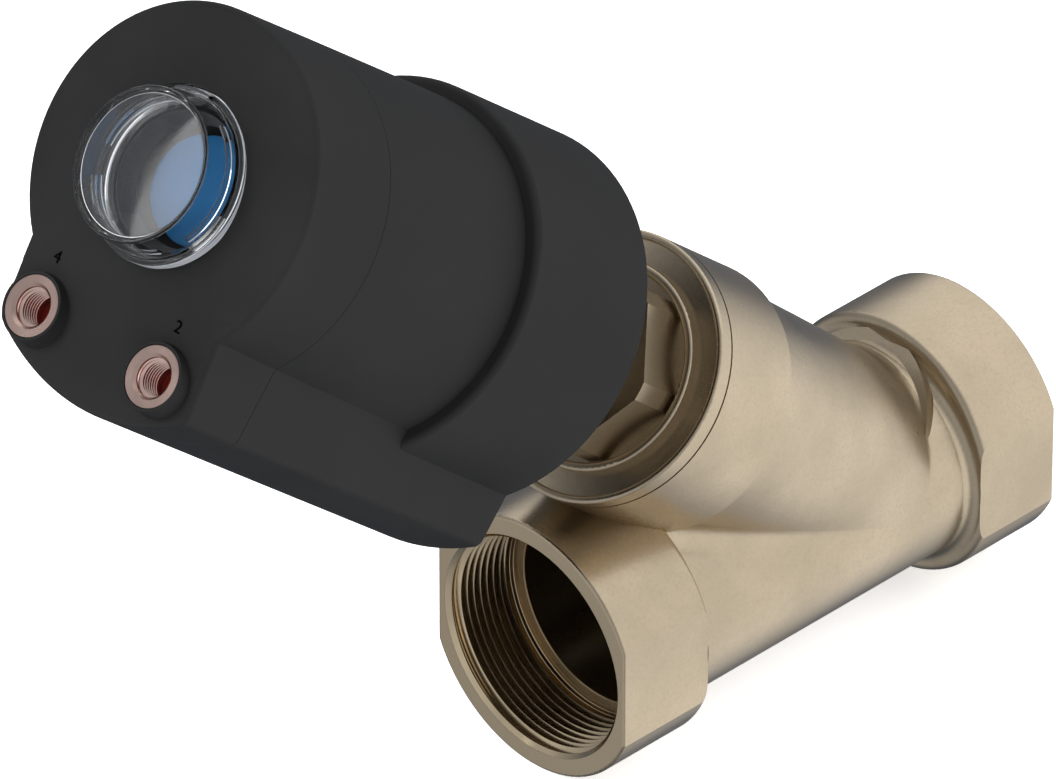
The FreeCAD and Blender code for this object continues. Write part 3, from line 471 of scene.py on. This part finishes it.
def clear_plastic():
    """Clear plastic, polished a little unevenly."""
    material, tree, shader = new_material("clear_plastic")
    feed(tree, shader, {
        "Base Color": (*settings("valve_finishes").dome_tint, 1),
        "Transmission Weight": 1.0,
        "IOR": 1.49,
        "Roughness": ramp(tree, noise(tree, object_place(tree), scale=60), 0.0, 0.03),
    })
    return material


def dress(names, material):
    """Gives CAD nodes one material."""
    for name in names:
        slots = NODES[name].data.materials
        slots.clear()
        slots.append(material)


# Operators, one for each piece or group of like pieces

class VALVE_OT_bronze(bpy.types.Operator):
    """Gives the pipe body and the bonnet their blasted bronze finish"""
    bl_idname = "valve.bronze"
    bl_label = "Finish the bronze"

    def execute(self, context):
        dress(["valve_body", "bonnet"], cast_bronze())
        return {"FINISHED"}


class VALVE_OT_pipe_threads(bpy.types.Operator):
    """Winds the taper threads in both pipe ends, and turns their mouths and the steps behind them"""
    bl_idname = "valve.pipe_threads"
    bl_label = "Cut the pipe threads"

    def execute(self, context):
        sizes = settings("valve_threads")
        metal = plain_finish("machined_bronze", settings("valve_finishes").bronze_machined, 0.21, TURNED)
        for end in ("inlet", "outlet"):
            mount = MOUNTS[end + "_thread"]
            wall, depth = mount["dims"]["r_mm"] * MM, mount["dims"]["length_mm"] * MM
            place = into_mount(mount)
            start = Matrix.Translation((0, 0, sizes.pipe_lead + sizes.pipe_pitch / 2))
            ridge = thread(end + "_thread_turns", wall, sizes.pipe_depth, sizes.pipe_pitch, sizes.pipe_turns,
                           place @ start, metal, steps=96, growth=PIPE_THREAD_GROWTH)

            sunk, cut = wall + SUNK, sizes.chamfer
            mouth_end = 1.7 * cut
            mouth = lathe(end + "_mouth_chamfer", rounded([
                (sunk, SUNK, 0), (wall - cut, cut, 0.08), (sunk, mouth_end, 0)]), place, metal, FINE_STEPS)

            # The step slopes out of the wall to a band, and a cone leads from the band down to the passage
            crest, inner = wall - sizes.pipe_depth, sizes.stop_inner
            slope, band, cone, passage = (depth - back * MM for back in (2.6, 2.1, 1.1, 0.2))
            stop = lathe(end + "_thread_stop", rounded([
                (sunk, slope, 0), (crest + 0.1 * MM, band, 0.2), (crest, cone, 0.2), (inner, passage, 0.1),
                (inner, depth, 0), (sunk, depth, 0)]), place, metal, FINE_STEPS)
            for piece in (ridge, mouth, stop):
                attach(piece, "valve_body")
        return {"FINISHED"}


class VALVE_OT_actuator(bpy.types.Operator):
    """Gives the actuator's housing and cover their black plastic finish"""
    bl_idname = "valve.actuator"
    bl_label = "Finish the actuator"

    def execute(self, context):
        dress(["actuator_housing", "actuator_cover"], housing_plastic())
        return {"FINISHED"}


class VALVE_OT_inner_parts(bpy.types.Operator):
    """Finishes the parts inside: stem, plug, packing, piston, seals and indicator"""
    bl_idname = "valve.inner_parts"
    bl_label = "Finish the inner parts"

    def execute(self, context):
        finishes = settings("valve_finishes")
        dress(["stem", "plug_disc", "seal_washer", "plug_nut", "packing_base_ring", "packing_follower",
               "packing_spring", "actuator_nut", "piston_nut"],
              plain_finish("turned_steel", finishes.steel, 0.24, METAL))
        dress(["plug_seal", "bonnet_gasket", "chevron_packing", "gland_bush", "piston_guide_ring"],
              plain_finish("white_seal", (0.75, 0.74, 0.70), 0.45, PLASTIC))
        dress(["stem_wiper", "cover_seal", "dome_seal", "piston_seal"],
              plain_finish("black_rubber", (0.02, 0.02, 0.02), 0.6, PLASTIC))
        dress(["piston"], plain_finish("piston_plastic", (0.03, 0.03, 0.032), 0.4, PLASTIC))
        dress(["port_4_seal", "port_2_seal"], plain_finish("red_rubber", finishes.seal_red, 0.35, PLASTIC))
        dress(["position_indicator"], plain_finish("indicator_blue", finishes.indicator, 0.35, PLASTIC))
        return {"FINISHED"}


class VALVE_OT_closing_springs(bpy.types.Operator):
    """Winds the two closing springs at one length, though in the valve they shorten as the piston lifts"""
    bl_idname = "valve.closing_springs"
    bl_label = "Wind the closing springs"

    def execute(self, context):
        steel = plain_finish("spring_wire", settings("valve_finishes").steel, 0.3, METAL)
        for name, turns in SPRING_TURNS.items():
            low, high = reach(name)
            off_axis = [(vertex.co - FOOT).cross(BRANCH).length for vertex in NODES[name].data.vertices]
            wire, middle = (max(off_axis) - min(off_axis)) / 2, (max(off_axis) + min(off_axis)) / 2
            bm = bmesh.new()
            start = Matrix.Translation((middle, 0, low + wire)) @ Matrix.Rotation(math.pi / 2, 4, "X")
            bmesh.ops.create_circle(bm, segments=WIRE_STEPS, radius=wire, matrix=start)
            steps = SPRING_STEPS * turns
            sweep(bm, bm.verts[:] + bm.edges[:], FULL_TURN * turns, steps, rise=(high - low - 2 * wire) / steps)
            close_ends(bm)
            spring = finish_mesh("closing_" + name, bm, ON_BRANCH, steel, SHARP_ON_WIRE)
            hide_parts(name)
            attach(spring, "actuator")
            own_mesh(spring)
        return {"FINISHED"}


class VALVE_OT_view_dome(bpy.types.Operator):
    """Makes the clear dome over the position indicator, its bayonet and the ribbed liner of its well"""
    bl_idname = "valve.view_dome"
    bl_label = "Fit the view dome"

    def execute(self, context):
        sizes = settings("valve_dome")
        low, top = reach("view_dome")
        flange, root, rim, skirt, wall = sizes.flange, sizes.root, sizes.rim, sizes.skirt, sizes.wall
        flange_top, flange_low = top - sizes.flange_top, top - sizes.flange_low
        window, ceiling = top - sizes.lip, top - wall
        lip_foot, lip_top, inside = rim - 1.15 * MM, rim - 0.85 * MM, skirt - wall
        clear = clear_plastic()
        dome = lathe("clear_dome", rounded([
            (0, window, 0), (lip_foot, window, 0.1), (lip_top, top, 0.1), (rim, top, 0.45),
            (root, flange_top, 0.4), (flange, flange_top, 0.6), (flange, flange_low, 0.3),
            (skirt, flange_low, 0.2), (skirt, low, 0.3), (inside, low, 0.3), (inside, flange_low, 0.6),
            (root - wall, flange_top, 0.6), (rim - wall, ceiling, 0.35), (0, ceiling, 0)]),
            ON_BRANCH, clear, DOME_STEPS)
        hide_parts("view_dome")
        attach(dome, "actuator")

        # Each lug stands on the flange, and a track runs behind it inside the dome's wall
        lug_low = flange_top + 0.05 * MM
        lug = [(root + 0.1 * MM, lug_low), (flange - 0.2 * MM, lug_low),
               (flange - 0.4 * MM, flange_top + 1.6 * MM), (root - 0.05 * MM, flange_top + 1.9 * MM)]
        track_out, track_low = root - wall - 0.7 * MM, flange_top + 0.6 * MM
        track_in, track_top = track_out - 0.6 * MM, track_low + 2.0 * MM
        track = [(track_out, track_low), (track_out - 0.08 * MM, track_top), (track_in, track_top),
                 (track_in, track_low)]
        blocks = []
        for bearing in LUG_BEARINGS:
            blocks += [(lug, bearing, LUG_SWEEP), (track, bearing, TRACK_SWEEP)]
        lugs = arc_blocks("dome_bayonet", blocks, ON_BRANCH, clear)
        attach(lugs, "actuator")

        # The liner's ribs step inwards from its top to the foot of the well
        back, foot, widest = inside - 0.1 * MM, 0.05 * MM, inside - 0.35 * MM
        liner = [(back, low + foot), (back, low + sizes.well_rise)]
        for index in reversed(range(sizes.ribs)):
            across = sizes.well + (widest - sizes.well) * index / (sizes.ribs - 1)
            liner += [(across, low + sizes.well_rise * (index + 1) / sizes.ribs),
                      (across, low + max(foot, sizes.well_rise * index / sizes.ribs))]
        ribbed = lathe("ribbed_well", liner, ON_BRANCH,
                       plain_finish("liner_plastic", (0.05, 0.05, 0.051), 0.22, PLASTIC), FINE_STEPS)
        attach(ribbed, "actuator")
        return {"FINISHED"}


class VALVE_OT_air_ports(bpy.types.Operator):
    """Makes the chamfered inserts of the two air ports and winds their threads"""
    bl_idname = "valve.air_ports"
    bl_label = "Fit the air ports"

    def execute(self, context):
        sizes = settings("valve_threads")
        copper = settings("valve_finishes").copper
        # The thread turns take a brighter copy of the port copper. This is a painted highlight for the light their
        # crests catch, against the plain copper of the bore between them. Only their lower roughness is the metal's
        # own polish.
        highlight_gain, first_turn = 1.45, 0.7 * sizes.port_pitch
        metal = plain_finish("port_copper", copper, 0.3, METAL)
        painted_highlight_copper = [min(1, channel) for channel in scaled(copper, highlight_gain)]
        bright = plain_finish("port_thread_painted_highlight_copper", painted_highlight_copper, 0.2, METAL)
        outside, depth = sizes.insert_radius, sizes.insert_length
        for port in ("port_4", "port_2"):
            mount = MOUNTS[port]
            wall, cut = mount["dims"]["r_mm"] * MM, sizes.insert_chamfer
            place = into_mount(mount)
            start = Matrix.Translation((0, 0, cut + first_turn))
            ridge = thread(port + "_thread_turns", wall, sizes.port_depth, sizes.port_pitch, sizes.port_turns,
                           place @ start, bright, steps=64)
            insert = lathe(port + "_chamfered_insert", rounded([
                (outside, 0, 0.3), (wall + cut, 0, 0.1), (wall, cut, 0.1), (wall, depth, 0), (outside, depth, 0)]),
                place, metal)
            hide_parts(port + "_insert")
            for piece in (ridge, insert):
                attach(piece, "actuator")
        return {"FINISHED"}


class VALVE_OT_port_numerals(bpy.types.Operator):
    """Stands the numerals 4 and 2 above the air ports, on the cover's crowned face"""
    bl_idname = "valve.port_numerals"
    bl_label = "Number the air ports"

    def execute(self, context):
        sizes = settings("valve_numerals")
        ink = plain_finish("numeral_black", (0.001, 0.001, 0.001), 0.85, PLASTIC)
        ink.node_tree.nodes["Principled BSDF"].inputs["Specular IOR Level"].default_value = 0.02
        aside, clear_of_cover = 0.8 * MM, 50 * MM
        for figure in ("4", "2"):
            port = "port_" + figure
            letter = bpy.data.curves.new(port + "_letter", "FONT")
            letter.body, letter.align_x, letter.align_y = figure, "CENTER", "CENTER"
            # Half of a depth of 1, which the scale turns into the numeral's relief on both sides of the face
            letter.extrude = 0.5
            shape = bpy.data.objects.new(port + "_letter", letter)
            context.scene.collection.objects.link(shape)
            mesh = bpy.data.meshes.new_from_object(shape)
            bpy.data.objects.remove(shape)
            bm = bmesh.new()
            bm.from_mesh(mesh)
            heights = [vertex.co.y for vertex in bm.verts]
            tall, middle = max(heights) - min(heights), (max(heights) + min(heights)) / 2
            bmesh.ops.translate(bm, verts=bm.verts, vec=(0, -middle, 0))
            size = sizes.height / tall
            bmesh.ops.scale(bm, verts=bm.verts, vec=(size, size, 2 * sizes.relief))

            above = Vector(MOUNTS[port]["pos_m"]) + UPPER * sizes.above + ACROSS * aside + BRANCH * clear_of_cover
            found, spot, normal, _ = NODES["actuator_cover"].ray_cast(above, -BRANCH)
            if not found:
                raise RuntimeError("The cover has no face under numeral " + figure)
            up = (UPPER - normal * UPPER.dot(normal)).normalized()
            place = Matrix.Translation(spot) @ Matrix((up.cross(normal), up, normal)).transposed().to_4x4()
            numeral = finish_mesh(port + "_numeral", bm, place, ink)
            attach(numeral, "actuator")
        return {"FINISHED"}


class VALVE_OT_stage(bpy.types.Operator):
    """Makes the floor, the soft light and the camera"""
    bl_idname = "valve.stage"
    bl_label = "Set the stage"

    def execute(self, context):
        studio = settings("valve_studio")
        material, tree, shader = new_material("studio_floor")
        feed(tree, shader, {"Base Color": (*studio.floor, 1), "Roughness": 0.9, "Emission Color": (1, 1, 1, 1),
                            "Emission Strength": studio.floor_glow})
        bm = bmesh.new()
        bmesh.ops.create_grid(bm, x_segments=1, y_segments=1, size=FLOOR_REACH)
        floor = finish_mesh("studio_floor", bm, Matrix.Translation((0, 0, CAD_BOX[0].z)), material)
        floor.visible_glossy = False
        context.scene.world = studio_sky(studio)
        context.scene.view_settings.view_transform = "Standard"
        for name, spot, power in LAMPS:
            lamp = area_light(name, "SQUARE", LAMP_SIZE, power)
            aim(lamp, Vector(spot), Vector(spot) - LAMP_AIM)
            lamp.visible_glossy = lamp.visible_transmission = False
        place_camera(context.scene)
        window_lamp(context.scene.camera, studio.window_lamp)
        return {"FINISHED"}


def studio_sky(studio):
    """A dark sky, bright on its bright side and high over the outlet, and dimmer over the inlet."""
    world = bpy.data.worlds.new("studio_sky")
    world.use_nodes = True
    tree = world.node_tree
    direction = node(tree, "ShaderNodeTexCoord").outputs["Generated"]
    facing = node(tree, "ShaderNodeVectorMath", operation="DOT_PRODUCT")
    for socket, value in zip(facing.inputs, (direction, Vector(studio.bright_side).normalized())):
        put(tree, socket, value)
    side, _, level = node(tree, "ShaderNodeSeparateXYZ", Vector=direction).outputs
    bright = ramp(tree, facing.outputs["Value"], low=0, high=1, low_at=0.22, high_at=0.75)
    over_outlet = math_node(tree, "MULTIPLY", ramp(tree, side, low=0.3, high=1, low_at=0.0, high_at=0.5),
                            ramp(tree, level, low=0, high=1, low_at=0.0, high_at=0.4))
    over_inlet = ramp(tree, side, low=0.42, high=0, low_at=-0.7, high_at=-0.15)
    share = math_node(tree, "MAXIMUM", math_node(tree, "MAXIMUM", bright, over_outlet), over_inlet)
    colour = mix_colour(tree, share, studio.sky_dark, studio.sky)
    feed(tree, tree.nodes["Background"], {"Color": colour, "Strength": studio.sky_strength})
    return world


def area_light(name, shape, size, power):
    lamp = bpy.data.lights.new(name, "AREA")
    lamp.shape = shape
    lamp.size = size
    lamp.energy = power
    made = bpy.data.objects.new(name, lamp)
    made.visible_camera = False
    bpy.context.scene.collection.objects.link(made)
    return made


def aim(lamp, spot, back):
    """Puts a lamp at a spot, with its back turned along a direction."""
    lamp.location = spot
    lamp.rotation_mode = "QUATERNION"
    lamp.rotation_quaternion = back.to_track_quat("Z", "Y")


def window_lamp(camera, power):
    """A small round lamp whose mirror image lies over one side of the dome's window."""
    image_radius, image_below, image_aside, away = 35.5 * MM, 0.5 * MM, 39 * MM, 1.5
    window = FOOT + BRANCH * (reach("view_dome")[1] - settings("valve_dome").lip)
    eye = camera.location - 2 * (camera.location - window).dot(BRANCH) * BRANCH
    middle = window - UPPER * image_below - ACROSS * image_aside
    grown = 1 + away / (middle - eye).length
    lamp = area_light("window_lamp", "DISK", 2 * image_radius * grown, power)
    aim(lamp, middle + (middle - eye).normalized() * away, BRANCH)


def place_camera(scene):
    sizes = settings("valve_camera")
    turn, rise = sizes.azimuth, sizes.elevation
    back = Vector((math.sin(turn) * math.cos(rise), -math.cos(turn) * math.cos(rise), math.sin(rise)))
    right = Vector((math.cos(turn), math.sin(turn), 0))
    up = back.cross(right)
    camera = bpy.data.objects.new("photo_camera", bpy.data.cameras.new("photo_camera"))
    camera.data.lens = sizes.lens
    camera.data.sensor_width = 36
    camera.data.clip_start, camera.data.clip_end = 0.1, 20
    camera.location = Vector(sizes.target) - right * sizes.shift_right - up * sizes.shift_up + back * sizes.distance
    camera.rotation_mode = "QUATERNION"
    camera.rotation_quaternion = Matrix((right, up, back)).transposed().to_quaternion()
    scene.collection.objects.link(camera)
    scene.camera = camera


OPERATORS = (VALVE_OT_bronze, VALVE_OT_pipe_threads, VALVE_OT_actuator, VALVE_OT_inner_parts,
             VALVE_OT_closing_springs, VALVE_OT_view_dome, VALVE_OT_air_ports, VALVE_OT_port_numerals,
             VALVE_OT_stage)
GROUPS = {"valve_finishes": ValveFinishes, "valve_threads": ThreadSizes, "valve_dome": DomeSizes,
          "valve_numerals": NumeralSizes, "valve_camera": CameraSizes, "valve_studio": StudioSizes}


class VALVE_PT_build(bpy.types.Panel):
    """Lists the valve's operators and settings"""
    bl_idname = "VALVE_PT_build"
    bl_label = "Angle seat valve"
    bl_space_type = "VIEW_3D"
    bl_region_type = "UI"
    bl_category = "Valve"

    def draw(self, context):
        for operator in OPERATORS:
            self.layout.operator(operator.bl_idname)
        for group, kind in GROUPS.items():
            for name in kind.__annotations__:
                self.layout.prop(getattr(context.scene, group), name)


def register():
    for group, kind in GROUPS.items():
        bpy.utils.register_class(kind)
        setattr(bpy.types.Scene, group, PointerProperty(type=kind))
    for kind in (*OPERATORS, VALVE_PT_build):
        bpy.utils.register_class(kind)


def unregister():
    for kind in (VALVE_PT_build, *reversed(OPERATORS)):
        bpy.utils.unregister_class(kind)
    for group, kind in reversed(GROUPS.items()):
        delattr(bpy.types.Scene, group)
        bpy.utils.unregister_class(kind)


def main():
    register()
    for operator in OPERATORS:
        family, name = operator.bl_idname.split(".")
        getattr(getattr(bpy.ops, family), name)()


if __name__ == "__main__":
    main()
